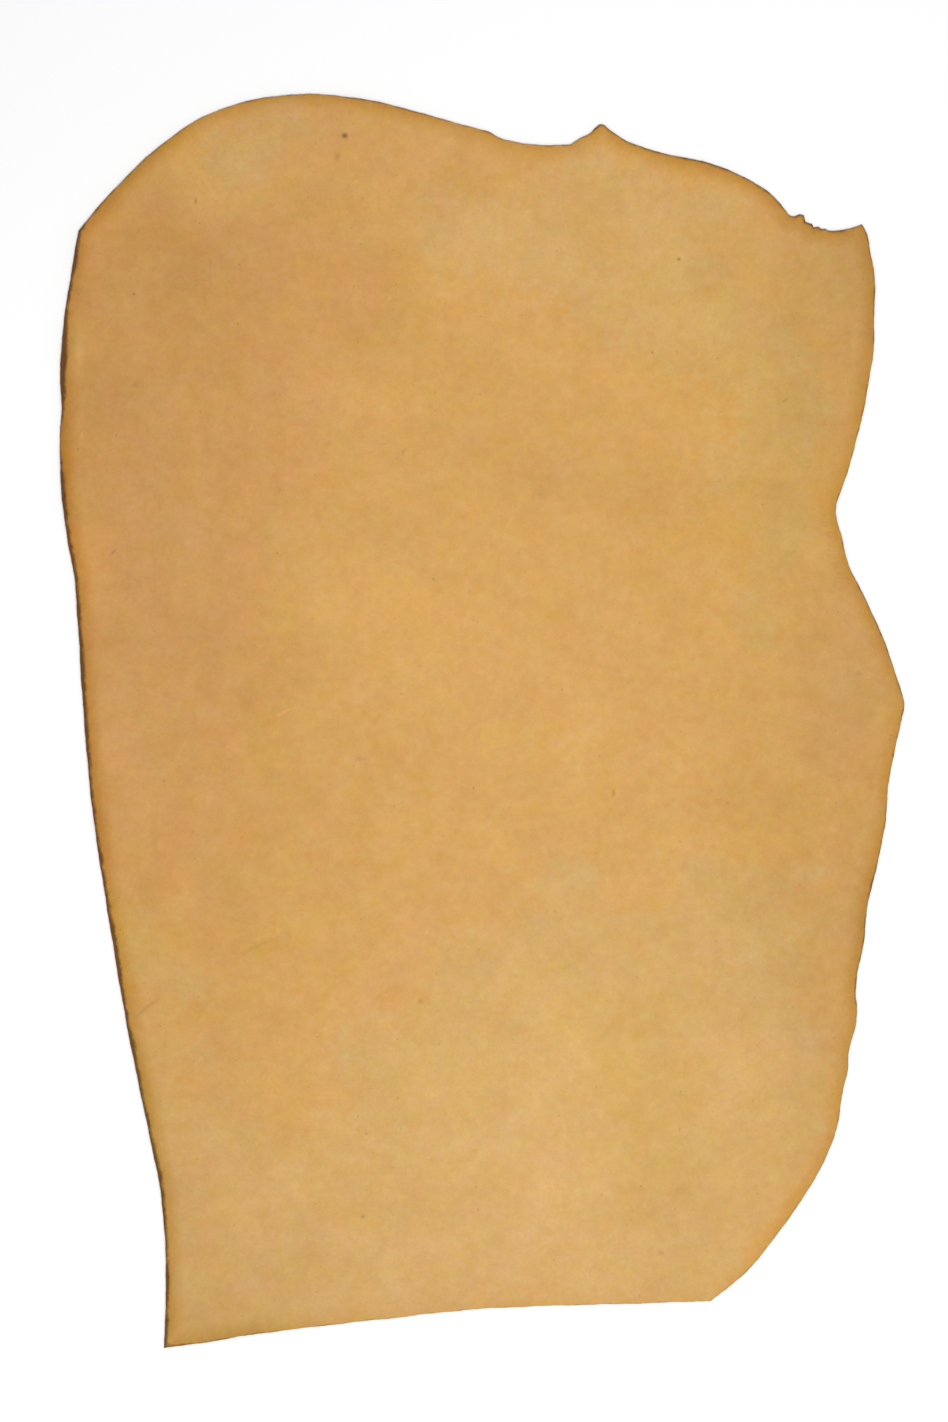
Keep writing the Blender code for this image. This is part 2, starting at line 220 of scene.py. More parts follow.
PATCHES = (
    Patch("backbone, rump part", -351, 230, 430, 280, 90, -10),
    Patch("backbone, fore part", -341, -140, 430, 270, 84, -8),
    Patch("backbone rim", -421, 340, 220, 120, 88, -5, -3),
    Patch("rump", -231, 470, 280, 180, 30, -5),
    Patch("rump, dark", -296, 458, 130, 95, 20, -8),
    Patch("rump rim", -121, 590, 420, 130, 0, 2, 15),
    Patch("rump rim, light", -251, 530, 80, 70, 0, 4, 4),
    Patch("tail and shank", 150, 470, 350, 260, -10, 6),
    Patch("shank", 348, 450, 240, 130, 90, -11, 8),
    Patch("loin", -61, 130, 260, 160, 0, 4),
    Patch("loin, dark band", 88, 241, 150, 50, -10, -4),
    Patch("waist", 338, 240, 240, 120, 80, -5, -4),
    Patch("belly", 398, -140, 430, 210, 90, -12),
    Patch("belly, dark", 267, -88, 90, 45, 0, -5),
    Patch("belly, bulge", 350, 60, 150, 80, 90, -4, 6),
    Patch("back, light", -107, 121, 150, 70, -35, 4),
    Patch("back, pale", 20, 20, 190, 130, 0, 2, 4),
    Patch("ribs, light", 102, -20, 110, 70, 90, 3),
    Patch("neck", 38, -480, 420, 380, 0, 9),
    Patch("neck, light", 79, -390, 260, 110, 90, 5),
    Patch("neck, yellow", 178, -340, 180, 90, 70, 0, -9),
    Patch("neck, cut edge", -31, -560, 460, 150, 0, -1, 11),
    Patch("neck, backbone corner", -301, -560, 190, 150, 0, -4),
    Patch("flank, yellow", 278, 190, 340, 160, 95, 0, -13),
    Patch("belly, yellow", 288, -110, 140, 130, 0, 0, -12),
    Patch("ribs, yellow", -261, -130, 240, 110, 85, 0, -9),
    Patch("tail, pale", 38, 410, 120, 90, 0, 1, 7),
    Patch("hip, pale", -151, 330, 110, 80, 0, 0, 7),
    Patch("neck crease, yellow", -331, -230, 160, 90, 90, 0, -12),
    Patch("hip, dark", -356, 320, 70, 60, 0, -3),
    Patch("hip band, dark", -107, 398, 75, 45, 0, -4),
    Patch("hip, light", -139, 328, 80, 40, -30, 4),
    Patch("back, dark", -231, 45, 80, 70, 0, -4),
    Patch("ribs, dark", -273, -235, 130, 60, 80, -4),
    Patch("neck, backbone light", -301, -260, 150, 110, 80, 6),
    Patch("tail, light", -23, 475, 75, 60, 0, 5),
    Patch("elbow, light", 252, -328, 120, 90, 0, 5, 4),
    Patch("rump, light", -245, 585, 90, 48, 35, 6, -3),
    Patch("rump, yellow", -300, 430, 150, 80, 90, 0, -9),
    Patch("shank, yellow", 290, 355, 130, 70, 35, -2, -9),
    Patch("shank, pale", 230, 515, 130, 60, -20, 0, 9),
    Patch("shank corner", 380, 458, 60, 42, 90, -8),
    Patch("back, yellow", -211, 30, 120, 80, 90, 0, -8),
    Patch("back rim, light", -402, 150, 90, 40, 90, 6),
    Patch("neck, pale", 70, -425, 140, 100, 90, 0, 11),
    Patch("neck, elbow side", 175, -410, 190, 110, 90, -4, -2),
    Patch("belly tip", 382, 40, 70, 40, 90, -5),
    Patch("belly rim", 376, -200, 80, 36, 90, -5),
    Patch("shank corner, olive", 335, 438, 95, 60, 15, 0, 7, 6),
    Patch("shank, dark", 230, 462, 85, 48, 90, -7, 0, 1),
    Patch("shank, amber", 228, 408, 52, 42, 90, 0, -10),
    Patch("neck rim, ruddy", -288, -405, 235, 80, 102, 0, 0, -3),
    Patch("neck crease, ruddy", -334, -285, 85, 45, 97, 0, 0, -4),
    Patch("neck, olive", 58, -390, 270, 210, 0, 0, 0, 2),
    Patch("neck, backbone dark", -246, -358, 95, 60, 75, -5, -3),
    Patch("neck, dark corner", -250, -600, 110, 45, -6, -6, -10),
    Patch("neck, pale band", -68, -220, 150, 42, 51, 0, 14),
    Patch("neck, pale middle", -50, -415, 150, 80, 0, 0, 6),
    Patch("neck, yellow band", 128, -320, 115, 58, 115, 0, -8),
    Patch("neck, yellow spot", 178, -440, 55, 42, 0, 0, -7),
    Patch("flank, pale", 228, 262, 95, 46, 90, 0, 8),
    Patch("flank rim, pale", 378, 372, 78, 38, 82, -4, 12),
    Patch("waist, yellow", 282, 185, 135, 52, 90, 0, -8),
    Patch("belly edge, yellow", 308, -122, 85, 62, 80, 0, -8),
    Patch("tail, pale middle", 0, 480, 125, 70, 0, 0, 6),
    Patch("rump, yellow band", -171, 530, 110, 62, 0, 0, -8),
    Patch("ribs, yellow middle", -190, -170, 135, 80, 60, 0, -5),
    # Painted highlight: the glint along the buckle beside the shaded backbone edge
    Patch("hip rim, light", -405, 373, 46, 16, 90, 9, 5, 9),
    Patch("hip rim, dark", -322, 232, 85, 46, 90, -5),
    Patch("loin, light", -105, 312, 75, 46, -20, 5),
    Patch("loin, dark", -95, 185, 80, 48, -40, -6),
    Patch("back rim, lighter", -376, 160, 60, 38, 90, 5),
    Patch("rump corner, dark", -326, 512, 55, 36, 45, -6),
    Patch("rump corner, light", -270, 510, 48, 36, 45, 5),
    Patch("ribs, light middle", -22, -115, 110, 62, 0, 4),
    Patch("ribs, dark middle", -271, -165, 85, 48, 90, -4),
    Patch("elbow, dark", 332, -320, 92, 50, 75, -4),
    Patch("neck, pale spot", -151, -340, 78, 46, 0, 0, 11, 3),
    Patch("neck rim, yellow", -298, -342, 60, 46, 100, 0, -8),
    Patch("ribs, yellow spot", -60, -38, 110, 52, 0, 0, -6),
    Patch("back, yellow spot", -221, 62, 58, 46, 90, 0, -7),
    Patch("shank, pale spot", 274, 468, 58, 48, 0, 0, 8, 4),
    Patch("elbow, pale", 228, -290, 62, 46, 90, 0, 8),
    Patch("belly rim, olive", 328, -215, 78, 38, 85, 0, 0, 5),
    Patch("belly tip, ruddy", 380, -38, 55, 36, 90, 0, 0, -5),
    Patch("waist, ruddy", 278, 238, 65, 42, 90, 0, 0, -4),
    Patch("waist rim, pale", 376, 110, 58, 34, 115, 0, 9),
    Patch("back rim, light middle", -371, -15, 62, 40, 95, 4),
    Patch("belly, dark middle", 240, 12, 95, 60, 90, -3),
    Patch("shoulder, dark", -271, -300, 62, 48, 90, -4),
    Patch("hip, pale middle", -221, 185, 105, 70, 0, 0, 5),
    Patch("belly, pale spot", 348, -106, 20, 17, 0, 4, 21, 2),
)

# Healed scars, specks and scuffs: an oval each, with its tone in percent and its relief in mm. They fade
# out at a little over its size.
Mark = namedtuple("Mark", "name x y half_length half_width angle percent relief", defaults=(0,))
TONE_SPREAD = 1.4
RELIEF_SPREAD = 1.6

MARKS = (
    Mark("dark spot", -137.0, 584.0, 3.6, 3.0, 0, -95, -0.15),
    Mark("smudge", -144.5, 563.0, 5.5, 3.5, 80, -32),
    Mark("light arc", -126.5, 538.0, 4.5, 1.6, 25, 20, 0.1),
    Mark("dot", -119.5, 522.0, 1.5, 1.5, 0, -26, -0.1),
    Mark("stroke", -285.5, 519.0, 4.5, 1.6, 86, -45, -0.15),
    Mark("dot", -347.5, 426.0, 1.8, 1.8, 0, -50, -0.1),
    Mark("vein", -271.5, 450.0, 21.0, 1.4, 90, -11, -0.08),
    Mark("light speck", -92.0, 422.5, 2.4, 1.4, 60, 20, 0.1),
    Mark("ring, light side", -98.5, 415.5, 3.0, 1.1, 45, 12, 0.1),
    Mark("ring, dark side", -101.0, 410.5, 3.4, 1.2, 20, -14, -0.1),
    Mark("light stroke", -189.5, 413.0, 4.0, 1.2, 70, 10, 0.1),
    Mark("light stroke", -49.5, 497.0, 4.0, 1.2, 100, 10, 0.1),
    Mark("light stroke", -231.5, 292.0, 4.0, 1.2, 60, 20, 0.1),
    Mark("light stroke", -399.5, 285.0, 4.0, 1.3, 80, 16, 0.1),
    Mark("light stroke", -198.5, 8.5, 12.0, 1.3, 27, 15, 0.12),
    Mark("light stroke", -299.0, -25.5, 14.5, 1.3, 59, 8, 0.12),
    Mark("dark stroke", -78.5, 270.0, 4.0, 1.4, 60, -22, -0.12),
    Mark("dark stroke", -368.5, 168.0, 5.0, 1.5, 45, -32, -0.12),
    Mark("dark stroke", 302.5, 320.0, 5.5, 1.4, 45, -26, -0.15),
    Mark("dark stroke", 131.5, -72.0, 4.5, 2.0, 85, -36, -0.12),
    Mark("smudge", 58.5, 227.0, 4.0, 3.0, 0, -14),
    Mark("smudge", -153.5, 277.0, 4.0, 3.0, 0, -24),
    Mark("smudge", -346.5, 335.0, 4.0, 3.0, 0, -26),
    Mark("smudge", 375.5, 47.0, 4.0, 3.0, 0, -28),
    Mark("smudge", -121.5, -38.0, 6.5, 2.8, 0, -18),
    Mark("smudge", -61.5, -280.0, 3.5, 2.8, 0, -26),
    Mark("smudge", 178.5, -531.0, 4.5, 3.2, 0, -28),
    Mark("dark spot", -119.0, -495.0, 2.6, 2.0, 0, -46, -0.12),
    Mark("dot", 196.5, 461.0, 1.8, 1.8, 0, -72, -0.1),
    Mark("dot", 170.0, 368.0, 1.6, 1.6, 0, -45, -0.1),
    Mark("dot", -48.5, 142.0, 1.6, 1.6, 0, -34, -0.1),
    Mark("dot", -317.5, -60.0, 1.6, 1.6, 0, -40, -0.1),
    Mark("dot", -111.5, -58.0, 1.5, 1.5, 0, -14, -0.1),
    Mark("dot", -8.5, -67.0, 1.5, 1.5, 0, -36, -0.1),
    Mark("dot", 245.5, -82.0, 1.5, 1.5, 0, -28, -0.1),
    Mark("dot", -115.5, -412.0, 1.6, 1.6, 0, -32, -0.1),
    Mark("pinhole", 409.0, -14.4, 1.2, 0.9, 0, -40, -0.3),
    Mark("pinhole", 407.1, -18.0, 1.2, 0.9, 0, -40, -0.3),
    Mark("light spot", 348.5, -106.5, 7.5, 6.0, 0, 7),
    Mark("light spot", -331.5, -210.0, 6.5, 5.0, 0, 3),
)

# Creases and scratches: a trough, or a ridge where depth is below zero, with its tone in percent. That tone
# is painted shade in a trough and a painted highlight along a ridge
Crease = namedtuple("Crease", "name from_x from_y to_x to_y depth half_width bend percent")

CREASES = (
    Crease("neck crease, outer", -349.0, -299.0, -320.5, -276.5, 0.60, 1.6, 1.5, -16),
    Crease("neck crease, inner", -247.5, -238.0, -201.5, -216.0, 0.45, 1.5, 2.0, -10),
    Crease("neck crease, turned end", -205.5, -215.0, -201.5, -193.0, -0.30, 1.6, 1.0, 6),
    Crease("neck crease, faint", -289.5, -306.0, -270.5, -277.0, 0.30, 1.6, 1.0, -5),
    Crease("belly fold, faint", 198.5, -307.0, 358.5, -307.0, 0.20, 2.6, 2.0, -1.5),
    Crease("long scratch", 208.5, 300.0, 188.5, 223.0, -0.10, 1.2, 2.0, 4),
)

# Rows of fine wrinkles that run in from the edge, with painted shade in their troughs as their percent
WrinkleRow = namedtuple(
    "WrinkleRow", "name from_x from_y to_x to_y count length angle depth half_width percent"
)

WRINKLE_ROWS = (
    WrinkleRow("waist", 341.0, 222.0, 366.0, 124.0, 22, 14.0, 176, 0.35, 1.1, -6.0),
    WrinkleRow("belly", 399.0, -28.0, 391.0, -83.0, 12, 14.0, 184, 0.30, 1.1, -5.0),
)

# How uneven a row's wrinkles are: a swing, and the step and start of its phase. USUAL_LENGTH is a share of
# the row's length.
UNEVEN_PLACE = (0.25, 7.1, 0.0)
UNEVEN_LENGTH = (0.25, 5.3, 1.0)
UNEVEN_LEAN = (0.18, 3.7, 0.0)
UNEVEN_BEND = (0.6, 2.9, 0.0)
USUAL_LENGTH = 0.75

# Colours of the leather and the floor, linear
GRAIN_AMBER = (0.564, 0.299, 0.0735)
GRAIN_RUDDY = (0.578, 0.290, 0.0770)
GRAIN_OLIVE = (0.538, 0.310, 0.0890)
MARK_BROWN = (0.170, 0.075, 0.030)
CUT_LIGHT = (0.420, 0.235, 0.095)
CUT_DARK = (0.200, 0.100, 0.040)
FLESH_LIGHT = (0.600, 0.410, 0.215)
FLESH_DARK = (0.440, 0.275, 0.125)
FLOOR_COLOUR = (0.93, 0.93, 0.93)

# Factors on the leather's colour
UNCHANGED = (1.0, 1.0, 1.0)
PALE_CAST = (1.0, 1.0, 1.13)
YELLOW_CAST = (1.0, 1.0, 0.87)
RED_CAST = (1.026, 0.982, 1.0)
GREEN_CAST = (0.974, 1.018, 1.0)
EDGE_GLOW = (0.80, 0.66, 0.15)
# Painted shade on the outermost few mm, where the rim turns down, with some of the edge's own darker brown
EDGE_DARK_AND_SHADE = (0.30, 0.24, 0.11)

# A noise: its largest lumps' size, its detail and roughness, and its squeeze along X, Y and Z. Most of its
# values lie within NOISE_RUN.
Lumps = namedtuple("Lumps", "size detail roughness squeeze", defaults=((1, 1, 1),))
NOISE_RUN = (0.3, 0.7)

# How far in mm the borders of the grounds wander, fray and fade
BORDER_BAYS = Lumps(0.040, 5.0, 0.8)
BORDER_FRAY = Lumps(0.009, 3.0, 0.7)
BAY_DEPTH = 20.0
FRAY_DEPTH = 11.0
BORDER_SOFTNESS = 7.0

# The mottling: faint casts of other hue, then clouds, streaks and flecks of other tone. TONE_HUE is how far
# red, green and blue follow a change of tone.
CAST_LUMPS = Lumps(0.042, 6.0, 0.9, (0.9, 1.25, 1.0))
CAST_RUN = (0.42, 0.58)
FLUSH_LUMPS = Lumps(0.030, 6.0, 0.9, (0.9, 1.25, 1.7))
FLUSH_RUN = (0.40, 0.60)
CLOUDS = Lumps(0.070, 5.0, 0.85, (1.0, 1.1, 1.0))
CLOUD_SWING = 0.09
STREAKS = Lumps(0.060, 3.0, 0.6, (1.5, 0.6, 1.0))
STREAK_SHARE = 0.2
FLECKS = Lumps(0.011, 4.0, 0.9, (1.1, 1.1, 1.4))
FLECK_SWING = 0.08
TONE_HUE = (0.65, 1.04, 1.6)

# Sparse specks: SPECK_CORE is the fully dark share of the radius, and SPECK_NONE the share of empty places
SPECK_SPACING = 0.040
SPECK_RADIUS = 0.0013
SPECK_CORE = 0.3
SPECK_NONE = 0.4
SPECK_DARKEST = 0.72

# The browned edge, and the painted shade with some darker brown on its outermost few mm, in mm from the cut
EDGE_FRAY = Lumps(0.014, 4.0, 0.7)
EDGE_FRAY_DEPTH = 1.6
GLOW_RUN = (1.0, 20.0)
GLOW_STRENGTH = 0.62
DARK_AND_SHADE_REACH = 6.2
DARK_AND_SHADE_SOFTNESS = 3.2

# Shine, fine relief and fibres. A bump is a depth in metres and a strength.
SHINE_LUMPS = Lumps(0.022, 3.0, 0.6)
GRAIN_ROUGHNESS = (0.47, 0.58)
PORES_PER_METRE = 1400.0
PORE_BUMP = (0.00005, 0.35)
PEBBLES = Lumps(0.0035, 4.0, 0.6)
PEBBLE_BUMP = (0.00010, 0.5)
CUT_LAYERS = Lumps(0.0022, 3.0, 0.6, (1, 1, 6))
CUT_RUN = (0.35, 0.65)
CUT_BUMP = (0.0003, 0.8)
FLESH_CLOUDS = Lumps(0.030, 4.0, 0.7)
NAP = Lumps(0.0025, 4.0, 0.75, (1.0, 0.4, 1.0))
NAP_SHADE = (0.88, 1.12)
NAP_BUMP = (0.0004, 0.7)
FLOOR_LUMPS = Lumps(0.6, 2.0, 0.5)
FLOOR_SHADE = (0.99, 1.0)


def curve_between(before, start, end, after, step):
    """Points of a cubic from start up to end, with chord-weighted tangents. None marks a corner."""
    before, start, end, after = (
        None if point is None else np.array(point, float) for point in (before, start, end, after)
    )
    chord = end - start
    length = np.linalg.norm(chord)
    along = chord / length

    def tangent(other, sign):
        arm = sign * (start - other if sign > 0 else end - other)
        reach = np.linalg.norm(arm)
        return (arm / reach * length + along * reach) / (reach + length)

    leave = None if before is None else tangent(before, 1)
    arrive = None if after is None else tangent(after, -1)
    if leave is None:
        leave = along if arrive is None else 2 * along - arrive
    if arrive is None:
        arrive = along if before is None else 2 * along - leave
    count = max(1, round(length / step))
    u = np.arange(count)[:, None] / count
    return (
        (2 * u**3 - 3 * u**2 + 1) * start
        + (u**3 - 2 * u**2 + u) * length * leave
        + (3 * u**2 - 2 * u**3) * end
        + (u**3 - u**2) * length * arrive
    )


def line_between(start, end, step):
    """Points of a straight line from start up to end."""
    start, end = np.array(start, float), np.array(end, float)
    count = max(1, round(np.linalg.norm(end - start) / step))
    return start + (end - start) * (np.arange(count) / count)[:, None]


def along_outline(points):
    """Each point's place along the closed outline, the outline's length, and each point's share of it."""
    gaps = np.linalg.norm(np.roll(points, -1, 0) - points, axis=1)
    return np.concatenate(([0], np.cumsum(gaps)[:-1])), gaps.sum(), gaps


def inward_of(outline):
    """The direction into the hide at each point of the outline, which runs clockwise."""
    along = np.roll(outline, -1, 0) - np.roll(outline, 1, 0)
    return np.stack((along[:, 1], -along[:, 0]), 1) / np.linalg.norm(along, axis=1)[:, None]


def cut_outline(step):
    """The closed outline in metres, scaled to the hide's length and width, and what the rim is like there.

    That is a row for each point: how high it lifts in metres, how browned it is, and how strong the
    painted shade and dark brown of its outermost few mm are.
    """
    points, rims = [], []
    for stretch, following in zip(CUT_EDGE, CUT_EDGE[1:] + CUT_EDGE[:1]):
        knots = [*stretch.points, following.points[0]]
        run = []
        for i in range(len(knots) - 1):
            if stretch.smooth:
                before = knots[i - 1] if i else None
                after = knots[i + 2] if i + 2 < len(knots) else None
                run.append(curve_between(before, knots[i], knots[i + 1], after, step / MM))
            else:
                run.append(line_between(knots[i], knots[i + 1], step / MM))
        run = np.vstack(run)
        points.append(run)
        share = np.arange(len(run)) / len(run)
        lifts = (stretch.turn_from + share * (stretch.turn_to - stretch.turn_from)) * MM
        browned = stretch.browned_from + share * (stretch.browned_to - stretch.browned_from)
        rims.append(np.column_stack((lifts, browned, np.full(len(run), stretch.burnt))))
    points = np.vstack(points)
    low, high = points.min(0), points.max(0)
    points = (points - (low + high) / 2) * (HIDE_WIDTH, HIDE_LENGTH) / (high - low)
    return points, evened_rims(points, np.vstack(rims))


def evened_rims(points, rims):
    """The rims evened out along the edge, where they would jump at a corner, and given a long slow wave."""
    place, total, gaps = along_outline(points)
    apart = np.abs(place[:, None] - place)
    apart = np.minimum(apart, total - apart)
    weights = np.exp(-((apart / TURN_SPREAD) ** 2)) * gaps
    evened = weights @ rims / weights.sum(1)[:, None]
    wave = 1
    for length, share, phase in TURN_WAVES:
        whole_waves = round(total / length)
        wave = wave + share * np.sin(2 * math.pi * whole_waves * place / total + phase)
    return evened * wave[:, None]


def wavering(outline):
    """The outline with the small unevenness of a hand-cut edge."""
    place, total, _ = along_outline(outline)
    shift = 0
    for length, swing, phase in KNIFE_WAVES:
        whole_waves = round(total / (length * MM))
        shift = shift + swing * MM * np.sin(2 * math.pi * whole_waves * place / total + phase)
    return outline + inward_of(outline) * shift[:, None]


def in_chunks(measure, points, *others):
    """measure(points, *others), a few thousand points at a time."""
    return np.concatenate([measure(points[i:i + CHUNK], *others) for i in range(0, len(points), CHUNK)])


def distance_to_edge(points, outline):
    """Distance from each point to the outline."""
    runs = np.roll(outline, -1, 0) - outline
    to_points = points[:, None] - outline
    share = np.clip((to_points * runs).sum(2) / (runs**2).sum(1), 0, 1)
    return np.linalg.norm(to_points - share[..., None] * runs, axis=2).min(1)


def rim_near(points, outline, rims):
    """What the rim nearest to each point is like, and a blend where two stretches are as near."""
    apart = ((points[:, None] - outline) ** 2).sum(2)
    weights = 1 / (apart + RIM_BLEND**2) ** 2
    return weights @ rims / weights.sum(1)[:, None]


def smooth_step(x):
    x = np.clip(x, 0, 1)
    return x * x * (3 - 2 * x)


def directions(angle):
    """The directions along and across a line at an angle in degrees to +X."""
    turn = math.radians(angle)
    return np.array((math.cos(turn), math.sin(turn))), np.array((-math.sin(turn), math.cos(turn)))


def oval(points, row, spread=1):
    """1 at the middle of a row's oval, falling smoothly to 0 at spread times its size. Points are in mm."""
    forward, sideways = directions(row.angle)
    away = points - (row.x, row.y)
    along = away @ forward / (row.half_length * spread)
    across = away @ sideways / (row.half_width * spread)
    return np.clip(1 - along**2 - across**2, 0, 1) ** 2


def line_of(crease):
    """A crease's start, its run from there to the end, its length, and the direction across it."""
    start = np.array((crease.from_x, crease.from_y))
    run = np.array((crease.to_x, crease.to_y)) - start
    length = np.linalg.norm(run)
    along = run / length
    return start, run, length, np.array((-along[1], along[0]))


def crease_strength(points, crease):
    """1 in a crease's bed, falling to 0 at its sides and fading at its two ends. Points are in mm."""
    start, run, length, across = line_of(crease)
    away = points - start
    share = away @ (run / length) / length
    bed = crease.bend * 4 * share * (1 - share)
    side = (away @ across - bed) / crease.half_width
    ends = np.clip(4 * share * (1 - share), 0, 1)
    return np.where((share > 0) & (share < 1), np.exp(-side**2) * np.sqrt(ends), 0)


def sway(uneven, i):
    """How far one wrinkle of a row differs from the usual."""
    swing, step, start = uneven
    return swing * math.sin(step * i + start)


def wrinkles(row):
    """The creases of one row of wrinkles, each a little different."""
    turn = math.radians(row.angle)
    for i in range(row.count):
        share = (i + 0.5 + sway(UNEVEN_PLACE, i)) / row.count
        x = row.from_x + share * (row.to_x - row.from_x)
        y = row.from_y + share * (row.to_y - row.from_y)
        fade = math.sin(math.pi * share) ** 0.5
        length = row.length * (USUAL_LENGTH + sway(UNEVEN_LENGTH, i))
        lean = turn + sway(UNEVEN_LEAN, i)
        yield Crease(
            row.name, x, y, x + length * math.cos(lean), y + length * math.sin(lean),
            row.depth * fade, row.half_width, sway(UNEVEN_BEND, i), row.percent * fade,
        )


ALL_CREASES = [*CREASES, *(crease for row in WRINKLE_ROWS for crease in wrinkles(row))]


def rim_height(distance, lifts_here):
    """Height of the turned rim: steep at the cut edge, round over the crest, then a long slope down."""
    outer = 1 - np.clip(1 - distance / TURN_REACH, 0, 1) ** TURN_ROUNDNESS
    inner = 1 - smooth_step((distance - TURN_REACH) / TURN_FALL)
    return lifts_here * outer * inner


def drape_height(points, distance):
    """Low uneven waves in the leather, none of them below the floor. They fade towards the edge."""
    total = np.zeros(len(points))
    for length, height, seed in DRAPE_WAVES:
        for i, (x, y) in enumerate(points.tolist()):
            total[i] += height * max(0.0, noise.noise(Vector((x / length, y / length, seed))))
    return total * smooth_step(distance / TURN_REACH)


def grain_height(points, distance, lifts_here):
    """Height of the grain face over the floor. Points are in mm, and the rest is in metres."""
    height = THICKNESS + rim_height(distance, lifts_here)
    for swell in SWELLS:
        height += swell.height * MM * oval(points, swell)
    for mark in MARKS:
        if mark.relief:
            height += mark.relief * MM * oval(points, mark, RELIEF_SPREAD)
    for crease in ALL_CREASES:
        height -= crease.depth * MM * crease_strength(points, crease)
    return height + drape_height(points, distance) * MM


def tint_of(points):
    """The leather's colour at each point, as factors on its usual one, from its patches, creases and pale
    marks.
    The patches and creases hold painted shade and light as well as the leather's own tones.
    """
    tone, pale, green = np.zeros((3, len(points)))
    for patch in PATCHES:
        share = oval(points, patch)
        tone += patch.tone * share
        pale += patch.pale * share
        green += patch.green * share
    # Painted shade in the troughs of creases and wrinkles, and painted highlight along ridges
    for crease in ALL_CREASES:
        tone += crease.percent * crease_strength(points, crease)
    for mark in MARKS:
        if mark.percent > 0:
            tone += mark.percent * oval(points, mark, TONE_SPREAD)
    tone = 1 + tone / 100
    pale = 1 + pale / 100
    half_green = green / 200
    return np.column_stack((tone * (1 - half_green), tone * (1 + half_green), tone * pale))


def depth_in_ground(points, hue):
    """How deep in mm each point lies in the grounds of one hue, and below zero how far outside them."""
    depth = np.full(len(points), -GROUND_REACH)
    for ground in GROUNDS:
        if ground.hue == hue:
            border = np.array(ground.points, float)
            sign = np.where(inside(points, border), 1, -1)
            depth = np.maximum(depth, sign * distance_to_edge(points, border))
    return np.minimum(depth, GROUND_REACH)


def more_edge_dark_and_shade(points):
    """How much stronger than its stretch's the cut edge's painted shade and dark brown are near each point.
    Points are in mm.
    """
    more = np.zeros(len(points))
    for spot in EDGE_SPOTS:
        more += spot.burnt * oval(points, spot)
    return more


def darkness_of(points):
    """How strongly each point is stained by a dark mark, from 0 to 1."""
    dark = np.zeros(len(points))
    for mark in MARKS:
        if mark.percent < 0:
            dark -= mark.percent / 100 * oval(points, mark, TONE_SPREAD)
    return np.clip(dark, 0, 1)


def rim_points(outline):
    """Rings of points inside the outline, left out where a bend in the edge would crowd them."""
    inward = inward_of(outline)
    kept = []
    for offset, every in RIM_RINGS:
        ring = (outline + inward * offset)[::every]
        kept.append(ring[in_chunks(distance_to_edge, ring, outline) > CROWDED * offset])
    return np.vstack(kept)


def field_points(outline, detail):
    """A grid of equal triangles over the middle of the hide, thinned out where detail points stand."""
    low, high = outline.min(0), outline.max(0)
    row_step = FIELD_STEP * math.sqrt(0.75)
    columns = np.arange(low[0], high[0], FIELD_STEP)
    rows = np.arange(low[1], high[1], row_step)
    x, y = np.meshgrid(columns, rows)
    x[::2] += FIELD_STEP / 2
    grid = np.stack((x, y), 2).reshape(-1, 2)
    grid = grid[in_chunks(inside, grid, outline)]
    grid = grid[in_chunks(distance_to_edge, grid, outline) > FIELD_MARGIN]
    return grid[in_chunks(nearest, grid, detail) > FIELD_STEP / 2]


def nearest(points, others):
    """Distance from each point to the nearest of the others."""
    return np.linalg.norm(points[:, None] - others, axis=2).min(1)


def inside(points, outline):
    """Whether each point is inside the outline: a ray to +X crosses its edges an odd number of times."""
    x, y = points[:, :1], points[:, 1:]
    (x0, y0), (x1, y1) = outline.T, np.roll(outline, -1, 0).T
    spans = (y0 > y) != (y1 > y)
    crossing = x0 + (y - y0) * (x1 - x0) / np.where(y1 == y0, 1, y1 - y0)
    return (spans & (x < crossing)).sum(1) % 2 == 1


def detail_points():
    """Close points over the marks and along the creases, so that their shape and tone show."""
    kept = []
    for crease in ALL_CREASES:
        start, run, length, across = line_of(crease)
        rows = max(FEWEST_ROWS, round(length / (CREASE_STEP * crease.half_width)))
        for share in np.linspace(0, 1, rows):
            bed = start + run * share + across * crease.bend * 4 * share * (1 - share)
            for side in CREASE_SIDES:
                kept.append(bed + across * side * crease.half_width)
    for mark in MARKS:
        along, across = directions(mark.angle)
        middle = np.array((mark.x, mark.y))
        kept.append(middle)
        for ring in MARK_RINGS:
            longer = (1 + mark.half_length / mark.half_width) / 2
            count = max(MARK_SPOKES, round(MARK_SPOKES * ring * longer))
            for angle in np.arange(count) * 2 * math.pi / count + ring:
                kept.append(
                    middle
                    + along * ring * mark.half_length * math.cos(angle)
                    + across * ring * mark.half_width * math.sin(angle)
                )
    return np.array(kept) * MM


def triangles_inside(points, outline):
    """Triangles over all the points that keep the outline's edges and leave out what is beyond them.

    The outline's points come first among the points.
    """
    count = len(outline)
    border = [(i, (i + 1) % count) for i in range(count)]
    _, _, triangles, sources, *_ = delaunay_2d_cdt(
        [tuple(p) for p in points], border, [], WHOLE_HULL, SAME_POINT, True
    )
    named = np.array([[sources[i][0] for i in triangle] for triangle in triangles])
    return named[in_chunks(inside, points[named].mean(1), outline)]


def normals_of(places, triangles):
    """The normal at each point, from the triangles around it."""
    a, b, c = (places[triangles[:, i]] for i in range(3))
    face_normals = np.cross(b - a, c - a)
    normals = np.zeros_like(places)
    for i in range(3):
        np.add.at(normals, triangles[:, i], face_normals)
    return normals / np.linalg.norm(normals, axis=1)[:, None]


